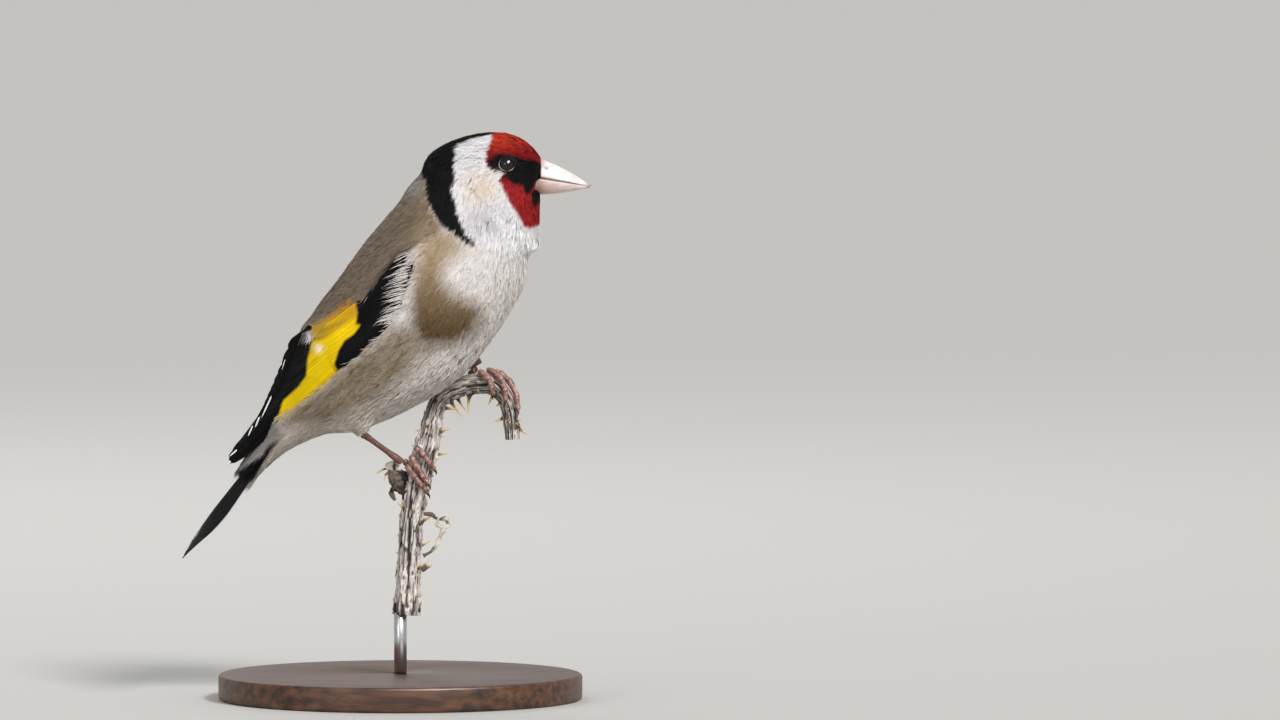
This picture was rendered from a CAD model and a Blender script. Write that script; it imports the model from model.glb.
import math

import bpy
import numpy as np
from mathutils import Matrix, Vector


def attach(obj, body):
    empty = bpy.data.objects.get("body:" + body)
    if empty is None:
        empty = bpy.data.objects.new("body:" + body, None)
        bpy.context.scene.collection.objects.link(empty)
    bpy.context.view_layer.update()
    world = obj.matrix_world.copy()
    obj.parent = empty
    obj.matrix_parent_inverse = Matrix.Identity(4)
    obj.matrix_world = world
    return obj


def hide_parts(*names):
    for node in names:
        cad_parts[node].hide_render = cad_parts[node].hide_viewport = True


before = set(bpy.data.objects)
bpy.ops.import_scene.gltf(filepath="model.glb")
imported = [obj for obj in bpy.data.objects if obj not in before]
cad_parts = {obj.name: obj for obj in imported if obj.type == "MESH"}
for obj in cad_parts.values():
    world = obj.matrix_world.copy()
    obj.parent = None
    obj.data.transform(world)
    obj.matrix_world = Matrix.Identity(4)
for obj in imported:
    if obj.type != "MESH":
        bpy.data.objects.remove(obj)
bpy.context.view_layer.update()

# The model is worked out in millimetres, in the row frame, and scaled to metres when a mesh is made.
MM = 0.001
RIGHT = -1
LEFT = 1
BOTH_SIDES = ((RIGHT, "right"), (LEFT, "left"))
rng = np.random.default_rng(7)


def srgb(red, green, blue):
    """A linear colour from a display colour of 0 to 255."""
    value = np.array([red, green, blue]) / 255
    return np.where(value <= 0.04045, value / 12.92, ((value + 0.055) / 1.055) ** 2.4)


# Display stand and perch
BASE_RADIUS = 43
BASE_HEIGHT = 6
ROD_RADIUS = 1.5
STEM_LINE = np.array([
    [1.4, 0, 20], [2.1, 0, 33], [2.7, 0, 42.5], [3.8, 0.1, 49.6], [5.1, 0.5, 55.5], [6.6, 2.2, 61.1],
    [7.7, 4.6, 66.6], [8.9, 6.2, 70], [11.1, 7.3, 72.2], [14.2, 8, 73.4], [17.9, 8.3, 74.2],
    [21.5, 8.3, 73.9], [24.1, 8.2, 71.7], [25.6, 8, 68.4], [26.2, 8, 64.2], [26.4, 8, 61],
])
STEM_RADII = np.array([3.1, 2.6, 2.6, 2.9, 3, 2.8, 2.2, 2.1, 2.2, 2.4, 2.4, 2.2, 2, 1.9, 1.8, 1.7])
# Spines: millimetres along the stem, turn in degrees from its outer side, length, lean in degrees
SPINES = [
    (11, 150, 2.6, 25), (16, 205, 3, 20), (22, 172, 3.4, 30), (25, 30, 2, 20), (39, 185, 2.6, 15),
    (44, 165, 2.4, 20), (51, 175, 3.2, 10), (54.5, 168, 4.8, -12), (57, 190, 3.6, 8),
    (60.5, 172, 5, -25), (68, 165, 2.4, 10), (75.5, 180, 2, 5), (78, 20, 2.6, 30),
]
SPINE_RADIUS = 0.45

# Body ribs from the root of the tail to the bill: back x z, underside x z, half width, and how far the
# widest place lies towards the underside
RIBS = np.array([
    [-37.1, 56.2, -33.7, 52.6, 3, 0],
    [-34.9, 60.4, -31.2, 55.2, 4.4, 0],
    [-31.6, 65.1, -26, 59.2, 6.6, 0],
    [-27.1, 73.2, -17.7, 62.8, 9.8, 0.05],
    [-23.4, 82.1, -10.4, 63.5, 13, 0.08],
    [-20.3, 91.3, -1.2, 67.1, 15.4, 0.1],
    [-14.6, 99.1, 7.1, 71.3, 16.6, 0.12],
    [-9.4, 106.4, 14.9, 76.9, 17, 0.12],
    [-4.2, 112.8, 21.2, 84.5, 16.6, 0.12],
    [-0.5, 117.1, 26, 91.8, 15.4, 0.12],
    [2.2, 121.2, 29.5, 98.4, 13.8, 0.12],
    [4.8, 124.1, 30.2, 104.3, 12.3, 0.1],
    [6.4, 127.9, 32.3, 108.6, 11.1, 0.1],
    [10.1, 130.8, 32.8, 112.1, 10, 0.1],
    [15.1, 132.8, 32.9, 115.4, 9, 0.1],
    [20.5, 133.8, 33, 118, 8, 0.1],
    [25.3, 133.6, 33.3, 119.9, 6.8, 0.08],
    [29.5, 131.9, 33.4, 121.1, 5.6, 0],
    [33.1, 128.5, 33.5, 122.7, 4, 0],
])
LAST_RIB = len(RIBS) - 1

# Bill, gape and eye
BILL_TIP = (45.1, 121.2)
BILL_BACK = 33.2
GAPE_HEIGHT = 123.3
EYE_X = 25.35
EYE_Y = 6.75
EYE_Z = 126.7
EYE_RADIUS = 2.2
EYE_OPENING = 1.55
LID_REACH = 1.95

# Wing stations from the shoulder to the tip: upper edge x z, lower edge x z, and the distances of the
# outer face from the middle plane at the two edges
WING_STATIONS = np.array([
    [4.5, 108.6, 5.4, 103.8, 13.6, 15.6],
    [-0.7, 103.4, 1.9, 94.4, 15, 17],
    [-6.6, 96.3, -2.5, 88.3, 14.6, 17],
    [-11.8, 90.2, -8.4, 82.7, 13, 16.4],
    [-19.8, 86.6, -13.8, 78.6, 8, 15],
    [-25, 83.5, -20.5, 72.5, 3.6, 12],
    [-28.3, 74.3, -28.9, 66.7, 2.6, 7.4],
    [-32.8, 68, -34.4, 61.7, 2.2, 4.6],
    [-40.4, 57.8, -40, 56, 1.5, 2.6],
])
WING_THICKNESS = 1.5

# Tail
TAIL_ROOT = np.array([-29.6, 62.4])
TAIL_INNER = np.array([-49.2, 37.6])
TAIL_OUTER = np.array([-51.6, 33.6])
TAIL_ROOT_HALF = 3.4
TAIL_END_HALF = 6.4
TAIL_DROP = 2.6
TAIL_HALF_FEATHERS = 6

# Colours of the plumage
WHITE = srgb(238, 236, 238)
CHEEK_BUFF = srgb(232, 216, 198)
CHEEK_GREY = srgb(186, 182, 190)
BLACK = srgb(7, 6, 8)
RED_CROWN = srgb(202, 58, 30)
RED_DEEP = srgb(140, 18, 22)
RED_THROAT = srgb(172, 36, 38)
NAPE = srgb(158, 154, 154)
MANTLE = srgb(112, 97, 81)
MANTLE_PALE = srgb(150, 136, 121)
TAWNY = srgb(172, 150, 120)
TAWNY_DARK = srgb(98, 77, 50)
FLANK = srgb(134, 116, 93)
BELLY = srgb(218, 209, 199)
VENT = srgb(208, 197, 184)
UPPER_TAIL = srgb(134, 134, 134)
YELLOW = srgb(226, 188, 6)
GOLD = srgb(196, 140, 18)

# Outlines of the markings as seen from the side, x z
RED_FACE = [
    (22.7, 135.5), (22.4, 133), (22.1, 131.5), (21.1, 130.1), (21, 128.9), (20.8, 127.1), (22.7, 125.3),
    (24.4, 124), (23.8, 123.4), (25.3, 120.5), (26.1, 118.5), (27.8, 116), (29.5, 112.8), (30.7, 112.3),
    (32.4, 112.8), (36, 114.5), (36, 136.5),
]
LORES = [
    (21.9, 128), (23.2, 128.9), (25, 129.2), (27.3, 128.5), (29.3, 128.1), (31.2, 127.4), (33.3, 127.2),
    (36, 126.3), (36, 123), (33.7, 122.9), (32.1, 122.3), (30.9, 120), (29.7, 120.6), (29.2, 122),
    (27.5, 122.3), (26.1, 123.5), (24.7, 124.2), (22.4, 125.5), (21.1, 127),
]
CHIN_SPOT = [(30.7, 119.8), (34.5, 119.8), (34.5, 118.6), (33, 118.3), (31.6, 117.2)]
HEAD_BAND = [
    (13.2, 136), (13.2, 131.5), (13.8, 129.1), (13.2, 126.3), (13.4, 123.7), (12.4, 121.4), (13.1, 119.7),
    (13.8, 117.4), (14.1, 115.7), (14.9, 113.4), (15.6, 111.4), (18.2, 109.6), (17.5, 108.4),
    (14.6, 110.4), (12, 112.2), (9.8, 114.2), (8.1, 116.8), (6.9, 120.2), (6.7, 122.8), (5.4, 125.1),
    (2.5, 127.4), (5.9, 133), (9.4, 136),
]
HEAD_WHITE = [
    (13.2, 137), (13.2, 123.7), (12.4, 121.4), (13.8, 117.4), (14.9, 113.4), (18.4, 109.2), (23.6, 106.9),
    (30.2, 105.4), (36, 106), (36, 137),
]
MANTLE_PATCH = [
    (6.6, 124), (8, 116.8), (10.6, 112.8), (9.4, 110.4), (5.9, 109), (2.8, 107.9), (-0.7, 103.4),
    (-6.6, 96.3), (-11.8, 90.2), (-18.4, 84.5), (-22.4, 83.8), (-36, 83.8), (-24, 118), (1.2, 131),
]
TAWNY_PATCH = [
    (12.5, 110.5), (11.5, 106), (11, 100.5), (13.5, 97.4), (18.2, 95.8), (20.2, 92.5), (18.6, 88.5),
    (14, 85.4), (8, 84.6), (4.4, 86.5), (3.4, 91), (3.4, 98), (4.2, 104), (7.5, 109), (10, 111),
]
SHOULDER_BLACK = [
    (5.2, 109.4), (2.6, 108), (-0.4, 105.8), (-3.4, 102.2), (-6, 98.6), (-4.2, 96.5), (-1.4, 101),
    (1.4, 105),
]
FLANK_PATCH = [
    (1, 91), (-8.7, 83), (-14.2, 78.6), (-23.6, 71), (-30.7, 65.5), (-16.5, 66), (-4.7, 72),
    (3.4, 79), (7.5, 84.5),
]
UPPER_TAIL_PATCH = [
    (-27.6, 65.5), (-27.4, 63.2), (-32.1, 58.5), (-37.8, 54.3), (-43, 52), (-38, 66), (-32.6, 70),
]
TAIL_WEDGE = [
    (-27, 63.1), (-30.1, 61.2), (-31.9, 58.6), (-35, 56.7), (-39.6, 53.8), (-37.4, 49.9), (-33.4, 53.7),
    (-31.9, 56.7), (-29.7, 59.4), (-27.8, 62),
]
YELLOW_PANEL = [
    (-10.5, 96), (-9.7, 92.1), (-10.1, 89.4), (-9, 89.3), (-10.5, 87.2), (-12.7, 85.7), (-14.1, 83.4),
    (-15.2, 80), (-14.3, 78.2), (-21.4, 72), (-27.4, 67.5), (-28.6, 67), (-27.4, 71), (-23.7, 74.4),
    (-21.8, 77.1), (-21.6, 80.8), (-21, 83.1), (-20.6, 85.2), (-20.4, 88.6), (-16.1, 91), (-13, 94),
]


# Geometry helpers

def smooth_along(table, index):
    """The rows of a table at whole or part indices, on a smooth curve through them."""
    last = len(table) - 1
    index = np.asarray(index, float)
    k = np.clip(np.floor(index).astype(int), 0, last - 1)
    f = (index - k)[..., None]
    a, b, c, d = (table[np.clip(k + step, 0, last)] for step in (-1, 0, 1, 2))
    return b + 0.5 * ((c - a) * f + (2 * a - 5 * b + 4 * c - d) * f**2 + (3 * b - a - 3 * c + d) * f**3)


def unit(vectors):
    length = np.linalg.norm(vectors, axis=-1, keepdims=True)
    return vectors / np.maximum(length, 1e-9)


def distance_inside(outline, x, z):
    """Distance to an outline, positive inside it."""
    corners = np.array(outline)
    ends = np.roll(corners, -1, axis=0)
    shape = np.shape(x)
    x, z = np.ravel(x), np.ravel(z)
    nearest = np.full(x.shape, 1e9)
    inside = np.zeros(x.shape, bool)
    for (ax, az), (bx, bz) in zip(corners, ends):
        dx, dz = bx - ax, bz - az
        f = np.clip(((x - ax) * dx + (z - az) * dz) / (dx * dx + dz * dz), 0, 1)
        nearest = np.minimum(nearest, (x - ax - f * dx) ** 2 + (z - az - f * dz) ** 2)
        crosses = (az > z) != (bz > z)
        if dz != 0:
            inside ^= crosses & (x < ax + (z - az) * dx / dz)
    return (np.sqrt(nearest) * np.where(inside, 1, -1)).reshape(shape)


def within(outline, x, z, soft=0.4):
    """1 inside an outline and 0 outside, blending over soft millimetres."""
    return np.clip(0.5 + distance_inside(outline, x, z) / soft, 0, 1)


def smoothstep(low, high, value):
    f = np.clip((value - low) / (high - low), 0, 1)
    return f * f * (3 - 2 * f)


def hill(value, middle, reach):
    """1 at the middle, falling off smoothly over its reach."""
    return np.exp(-(((value - middle) / reach) ** 2))


def spot(x, z, middle, reach):
    """1 at a place seen from the side, falling off smoothly over its reach in x and in z."""
    return np.exp(-(((x - middle[0]) / reach[0]) ** 2 + ((z - middle[1]) / reach[1]) ** 2))


def full_turn(count):
    """So many angles spread evenly round a circle."""
    return np.linspace(0, 2 * math.pi, count, endpoint=False)


NOISE_SIZE = 32
noise_grid = rng.random((NOISE_SIZE, NOISE_SIZE, NOISE_SIZE))


def noise(points, scale):
    """Smooth noise from 0 to 1, with features of about scale millimetres."""
    place = np.asarray(points) / scale
    low = np.floor(place).astype(int)
    f = place - low
    f = f * f * (3 - 2 * f)
    total = np.zeros(place.shape[:-1])
    for corner in range(8):
        step = np.array([corner & 1, corner >> 1 & 1, corner >> 2 & 1])
        weight = np.prod(np.where(step, f, 1 - f), axis=-1)
        k = (low + step) % NOISE_SIZE
        total += weight * noise_grid[k[..., 0], k[..., 1], k[..., 2]]
    return total


def mix(a, b, amount):
    amount = np.asarray(amount)[..., None]
    return a * (1 - amount) + b * amount


def make_mesh(name, points, faces, material, colours=None, uv=None, uv_name="OFBake", replaces=()):
    """A smooth mesh piece from points in millimetres and faces of three or four corners."""
    points, faces = np.asarray(points, float), np.asarray(faces, np.int32)
    corners = faces.shape[1]
    mesh = bpy.data.meshes.new(name)
    mesh.vertices.add(len(points))
    mesh.vertices.foreach_set("co", (points * MM).astype(np.float32).ravel())
    mesh.loops.add(faces.size)
    mesh.loops.foreach_set("vertex_index", faces.ravel())
    mesh.polygons.add(len(faces))
    mesh.polygons.foreach_set("loop_start", np.arange(0, faces.size, corners, dtype=np.int32))
    mesh.update(calc_edges=True)
    if colours is not None:
        rgba = np.ones((len(points), 4), np.float32)
        rgba[:, :3] = np.clip(colours, 0, 1)
        mesh.color_attributes.new("Plumage", "FLOAT_COLOR", "POINT").data.foreach_set("color", rgba.ravel())
    if uv is not None:
        layer = mesh.uv_layers.new(name=uv_name)
        layer.data.foreach_set("uv", np.asarray(uv, np.float32)[faces.ravel()].ravel())
    mesh.shade_smooth()
    mesh.materials.append(material)
    piece = bpy.data.objects.new(name, mesh)
    bpy.context.scene.collection.objects.link(piece)
    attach(piece, "root")
    if replaces:
        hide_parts(*replaces)
    return piece


def grid_faces(rows, columns, wrap=False):
    """Four-cornered faces of a grid of points, closed round its columns if it wraps."""
    last = columns if wrap else columns - 1
    row, column = np.meshgrid(np.arange(rows - 1), np.arange(last), indexing="ij")
    a = row * columns + column
    b = row * columns + (column + 1) % columns
    return np.stack([a, b, b + columns, a + columns], -1).reshape(-1, 4)


def triangulated(quads):
    return np.concatenate([quads[:, [0, 1, 2]], quads[:, [0, 2, 3]]])


def closed_grid(rows, sides, flip=False):
    """Triangles of a grid closed round its columns, with a fan to one more point at each end."""
    quads = grid_faces(rows, sides, wrap=True)
    column = np.arange(sides)
    after = (column + 1) % sides
    top = (rows - 1) * sides
    first, last = rows * sides, rows * sides + 1
    fans = np.concatenate([
        np.stack([after, column, np.full(sides, first)], -1),
        np.stack([top + column, top + after, np.full(sides, last)], -1),
    ])
    if flip:
        quads, fans = quads[:, ::-1], fans[:, ::-1]
    return np.concatenate([triangulated(quads), fans])


def join(parts):
    """Points, faces and colours of several parts as one."""
    points, faces, colours = zip(*parts)
    offsets = np.cumsum([0] + [len(part) for part in points[:-1]])
    faces = [part + offset for part, offset in zip(faces, offsets)]
    return np.concatenate(points), np.concatenate(faces), np.concatenate(colours)


# Materials

def new_material(name):
    material = bpy.data.materials.new(name)
    material.use_nodes = True
    shader = material.node_tree.nodes["Principled BSDF"]
    return material, material.node_tree.nodes, material.node_tree.links, shader


def noise_bump(nodes, links, shader, scale, strength, distance, stretch=(1, 1, 1), detail=4):
    """A fine relief on the shader's normal, from noise in the object's own coordinates."""
    place = nodes.new("ShaderNodeTexCoord")
    mapping = nodes.new("ShaderNodeMapping")
    mapping.inputs["Scale"].default_value = stretch
    texture = nodes.new("ShaderNodeTexNoise")
    texture.inputs["Scale"].default_value = scale
    texture.inputs["Detail"].default_value = detail
    bump = nodes.new("ShaderNodeBump")
    bump.inputs["Strength"].default_value = strength
    bump.inputs["Distance"].default_value = distance
    links.new(place.outputs["Object"], mapping.inputs["Vector"])
    links.new(mapping.outputs["Vector"], texture.inputs["Vector"])
    links.new(texture.outputs["Fac"], bump.inputs["Height"])
    links.new(bump.outputs["Normal"], shader.inputs["Normal"])
    return texture


def tinted(nodes, links, shader, texture, low, high):
    """The mesh's own colours, darkened and lightened a little by a texture."""
    own = nodes.new("ShaderNodeAttribute")
    own.attribute_name = "Plumage"
    spread = nodes.new("ShaderNodeMapRange")
    spread.inputs["To Min"].default_value = low
    spread.inputs["To Max"].default_value = high
    scale = nodes.new("ShaderNodeVectorMath")
    scale.operation = "SCALE"
    links.new(texture.outputs["Fac"], spread.inputs["Value"])
    links.new(own.outputs["Color"], scale.inputs[0])
    links.new(spread.outputs["Result"], scale.inputs["Scale"])
    links.new(scale.outputs["Vector"], shader.inputs["Base Color"])


def ramped(nodes, links, shader, texture, low, high, ends=(0, 1)):
    """A base colour that runs from one colour to another with a texture."""
    ramp = nodes.new("ShaderNodeValToRGB")
    for element, position, colour in zip(ramp.color_ramp.elements, ends, (low, high)):
        element.position = position
        element.color = (*colour, 1)
    links.new(texture.outputs["Fac"], ramp.inputs["Fac"])
    links.new(ramp.outputs["Color"], shader.inputs["Base Color"])


def feather_material(name, roughness, sheen, bump_scale):
    material, nodes, links, shader = new_material(name)
    shader.inputs["Roughness"].default_value = roughness
    shader.inputs["Sheen Weight"].default_value = sheen
    shader.inputs["Sheen Roughness"].default_value = 0.5
    shader.inputs["Specular IOR Level"].default_value = 0.08
    texture = noise_bump(nodes, links, shader, bump_scale, 0.35, 0.0001)
    tinted(nodes, links, shader, texture, 0.86, 1.12)
    return material


def horn_material(name, roughness, low, high, bump_scale=900, specular=0.4):
    material, nodes, links, shader = new_material(name)
    shader.inputs["Roughness"].default_value = roughness
    shader.inputs["Specular IOR Level"].default_value = specular
    texture = noise_bump(nodes, links, shader, bump_scale, 0.2, 0.0001)
    tinted(nodes, links, shader, texture, low, high)
    return material


coat_material = feather_material("soft_feathers", roughness=0.7, sheen=0.04, bump_scale=3000)
skin_material = feather_material("down", roughness=0.9, sheen=0.02, bump_scale=1600)
vane_material = feather_material("flight_feathers", roughness=0.45, sheen=0.0, bump_scale=2500)
bill_material = horn_material("bill", roughness=0.38, low=0.94, high=1.05, bump_scale=500)
leg_material = horn_material("scaly_skin", roughness=0.5, low=0.8, high=1.15, bump_scale=1500)
claw_material = horn_material("claw", roughness=0.3, low=0.85, high=1.1)
lid_material = horn_material("eyelid", roughness=0.7, low=0.85, high=1.1, bump_scale=2500, specular=0.1)
stem_material = horn_material("dry_stem", roughness=0.85, low=0.6, high=1.3, bump_scale=1800)


# Body surface

def body_point(t, turn, grow=0.0):
    """Points of the body at a rib t and a turn (0 the back, pi the underside), grown by so many mm."""
    t, turn, grow = np.broadcast_arrays(np.asarray(t, float), turn, grow)
    rib = smooth_along(RIBS, np.clip(t, 0, LAST_RIB))
    back, under = rib[..., 0:2], rib[..., 2:4]
    half, low = rib[..., 4], rib[..., 5]
    depth = np.linalg.norm(back - under, axis=-1)
    reach = (1 + 2 * grow / depth) * np.cos(turn) / 2
    xz = (back + under) / 2 + (back - under) * reach[..., None]
    y = (half + grow) * np.sin(turn) * (1 - low * np.cos(turn))
    points = np.stack([xz[..., 0], y, xz[..., 1]], -1)
    past_root = np.minimum(t, 0)[..., None]
    return points + past_root * np.array([2.4, 0, 3.6])


def wing_outline():
    rows = smooth_along(WING_STATIONS, np.linspace(0, 8, 25))
    return np.concatenate([rows[:, 0:2], rows[::-1, 2:4]])


WING_OUTLINE = wing_outline()
WING_COVER = 1.9
WING_REACH = 2.8
WING_LAP = 0.9


def wing_swell(points):
    """How far the plumage rises to meet the edge of the folded wing, in mm."""
    gap = distance_inside(WING_OUTLINE, points[..., 0], points[..., 2])
    rise = np.where(gap > 0, 1, hill(gap, 0, WING_REACH))
    far_back = smoothstep(-34, -27, points[..., 0])
    return WING_COVER * rise * far_back, gap


def body_cloud():
    """Ribs, turns and points spread over one half of the body."""
    t, turn = np.meshgrid(np.linspace(0, LAST_RIB, 240), np.linspace(0, math.pi, 90), indexing="ij")
    return t.ravel(), turn.ravel(), body_point(t, turn).reshape(-1, 3)


def flank_at(x, z):
    """Half width of the body at places seen from the side, 0 beyond its outline."""
    _, _, cloud = body_cloud()
    shape = np.shape(x)
    x, z = np.ravel(x), np.ravel(z)
    result = np.zeros(x.shape)
    for start in range(0, len(x), 500):
        part = slice(start, start + 500)
        away = (cloud[None, :, 0] - x[part, None]) ** 2 + (cloud[None, :, 2] - z[part, None]) ** 2
        nearest = away.argmin(1)
        hit = np.take_along_axis(away, nearest[:, None], 1)[:, 0] < 0.5
        result[part] = np.where(hit, cloud[nearest, 1], 0)
    return result.reshape(shape)


def wing_grid():
    station, down = np.meshgrid(np.linspace(0, 8, 97), np.linspace(0, 1, 21), indexing="ij")
    rows = smooth_along(WING_STATIONS, station)
    x = rows[..., 0] * (1 - down) + rows[..., 2] * down
    z = rows[..., 1] * (1 - down) + rows[..., 3] * down
    arch = np.sin(down * math.pi)
    spread = rows[..., 4] * (1 - down) + rows[..., 5] * down + 0.8 * arch
    flank = flank_at(x, z)
    outer = np.where(flank > 0, np.maximum(flank + 1.2 + 0.9 * arch, spread), spread)
    return x, z, outer, flank


WING_X, WING_Z, WING_Y, WING_FLANK = wing_grid()

# A raster of the wing's outer face, seen from the side, for quick reading at any place
RASTER_STEP = 0.4
raster_x = np.arange(-46, 12, RASTER_STEP)
raster_z = np.arange(48, 116, RASTER_STEP)


def wing_raster():
    x, z = np.meshgrid(raster_x, raster_z, indexing="ij")
    cloud = np.stack([WING_X.ravel(), WING_Z.ravel()], -1)
    places = np.stack([x.ravel(), z.ravel()], -1)
    result = np.zeros(len(places))
    values = WING_Y.ravel()
    for start in range(0, len(places), 1000):
        part = slice(start, start + 1000)
        away = ((cloud[None] - places[part, None]) ** 2).sum(-1)
        nearest = np.argpartition(away, 8, axis=1)[:, :8]
        weight = 1 / (np.take_along_axis(away, nearest, 1) + 0.08)
        result[part] = (values[nearest] * weight).sum(1) / weight.sum(1)
    result = result.reshape(x.shape)
    for _ in range(2):
        padded = np.pad(result, 1, mode="edge")
        before, after = padded[:-2, 1:-1], padded[2:, 1:-1]
        below, above = padded[1:-1, :-2], padded[1:-1, 2:]
        result = (4 * result + before + after + below + above) / 8
    return result


WING_RASTER = wing_raster()


def wing_y(x, z):
    """Distance of the wing's outer face from the middle plane at places seen from the side."""
    i = np.clip((np.asarray(x) - raster_x[0]) / RASTER_STEP, 0, len(raster_x) - 1.001)
    j = np.clip((np.asarray(z) - raster_z[0]) / RASTER_STEP, 0, len(raster_z) - 1.001)
    a, b = i.astype(int), j.astype(int)
    f, g = i - a, j - b
    low = WING_RASTER[a, b] * (1 - g) + WING_RASTER[a, b + 1] * g
    high = WING_RASTER[a + 1, b] * (1 - g) + WING_RASTER[a + 1, b + 1] * g
    return low * (1 - f) + high * f


def behind_bill(points):
    """Distance behind the slanting line where the plumage meets the bill, in mm."""
    top, foot = np.array([34.3, 128]), np.array([30.9, 119.3])
    ahead = (foot - top) / np.linalg.norm(foot - top)
    across = np.array([ahead[1], -ahead[0]])
    behind = (points[..., 0] - top[0]) * across[0] + (points[..., 2] - top[1]) * across[1]
    return np.where(points[..., 2] < foot[1], np.maximum(behind, foot[1] - points[..., 2]), behind)


def feathers_height(t):
    """Depth of the coat: shallow on the face, deeper on the body."""
    return np.interp(t, [0, 2, 6, 10, 13, 16, 18], [0.7, 0.9, 1.1, 1.1, 0.9, 0.6, 0.45])


def thigh_swell(points):
    """The feathered thighs swell the belly round the two heels."""
    THIGHS = (((-9.4, -7.2, 64.6), 2.3), ((5.6, 10.2, 75.2), 1.2))
    REACH = 3
    rise = np.zeros(points.shape[:-1])
    for centre, height in THIGHS:
        away = np.linalg.norm(points - np.array(centre), axis=-1)
        rise += height * hill(away, 0, REACH)
    return rise


def face_relief(points):
    """Cheek, brow and lores: the face is hollow before the eye and full behind and below it."""
    x, y, z = points[..., 0], np.abs(points[..., 1]), points[..., 2]
    lores = spot(x, z, (29.4, 125.4), (2.6, 2.4)) * (y > 2)
    cheek = spot(x, z, (19, 119), (4.5, 4.5))
    brow = spot(x, z, (25.2, 130), (3, 1.5)) * (y > 2)
    beard = spot(x, z, (32, 107.6), (5.5, 1.7))
    return 0.5 * cheek - 0.7 * lores + 0.25 * brow + 1.5 * beard


def coat_surface(t, turn, height):
    """A point in the coat, height mm over the solid's surface, with the swells of wing, thigh and face."""
    base = body_point(t, turn)
    swell, gap = wing_swell(base)
    lift = swell + thigh_swell(base) + face_relief(base)
    points = body_point(t, turn, height + lift)
    over = smoothstep(-0.5, 0.6, gap) * (points[..., 0] > -34)
    lapped = wing_y(points[..., 0], points[..., 2]) + WING_LAP + height
    reach = np.maximum(np.abs(points[..., 1]), lapped)
    side = np.where(points[..., 1] < 0, -1, 1)
    points[..., 1] += over * (side * reach - points[..., 1]) * (np.abs(points[..., 1]) > 4)
    seat = smoothstep(0.2, -0.4, behind_bill(points)) * (points[..., 2] < 127.5) * (t > 14)
    points[..., 1] *= 1 - 0.3 * seat
    points[..., 2] += 0.5 * seat * (points[..., 2] < 121)
    return points, gap


# Markings

def body_colours(points, x, y, z):
    """Breast, belly, flanks, back, rump and tail coverts."""
    colour = mix(BELLY, WHITE, 0.75 * smoothstep(-30, 25, x) ** 2)
    colour = mix(colour, VENT, 0.6 * smoothstep(-18, -30, x))
    colour = mix(colour, BELLY * 0.9, 0.4 * smoothstep(92, 74, z - 0.75 * x))
    tawny = mix(TAWNY, TAWNY_DARK, smoothstep(108, 90, z + 0.2 * x))
    colour = mix(colour, tawny, within(TAWNY_PATCH, x, z, 5) * smoothstep(2, 5, y))
    slant = np.stack([(x + z) / 3.4, y / 2, (z - x) / 0.9], -1)
    streak = 0.72 + 0.3 * noise(slant, 1.0)
    colour = mix(colour, FLANK, np.clip(within(FLANK_PATCH, x, z, 5) * streak, 0, 1))
    side_line = hill(x, 1.4, 1.7) * smoothstep(88, 92, z) * smoothstep(108, 104, z)
    colour = mix(colour, WHITE * 0.95, 0.7 * side_line * smoothstep(10, 13, y))
    pale_back = smoothstep(9, 2, y) * smoothstep(90, 118, z)
    mantle = mix(MANTLE, MANTLE_PALE, 0.25 + 0.5 * pale_back)
    mantle = mix(mantle, TAWNY, smoothstep(2, 9, x) * 0.55)
    colour = mix(colour, mantle, within(MANTLE_PATCH, x, z, 1.6))
    colour = mix(colour, BLACK * 1.3, within(SHOULDER_BLACK, x, z, 1.4) * smoothstep(8, 10, y))
    rump = smoothstep(-24, -27, x) * smoothstep(62, 66, z)
    colour = mix(colour, mix(MANTLE_PALE, WHITE, 0.35), rump * 0.8)
    panel = within(YELLOW_PANEL, x, z, 1.6) * smoothstep(6, 8, y)
    panel = panel * (0.6 + 0.4 * noise(points, 0.9))
    colour = mix(colour, mix(GOLD, YELLOW, smoothstep(93, 87, z)), panel)
    colour = mix(colour, WHITE * 0.9, spot(x, z, (-20.8, 86.6), (1.1, 1.8)))
    colour = mix(colour, UPPER_TAIL, within(UPPER_TAIL_PATCH, x, z, 1.4) * 0.85)
    colour = mix(colour, BLACK, within(TAIL_WEDGE, x, z, 0.9))
    collar = 0.85 * spot(x, z, (10.5, 108.6), (6, 3)) * (1 - within(SHOULDER_BLACK, x, z, 1.2))
    colour = mix(colour, TAWNY * 1.05, collar)
    return mix(colour, NAPE, 0.85 * spot(x, z, (4, 122.6), (2, 2.8)))


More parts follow.
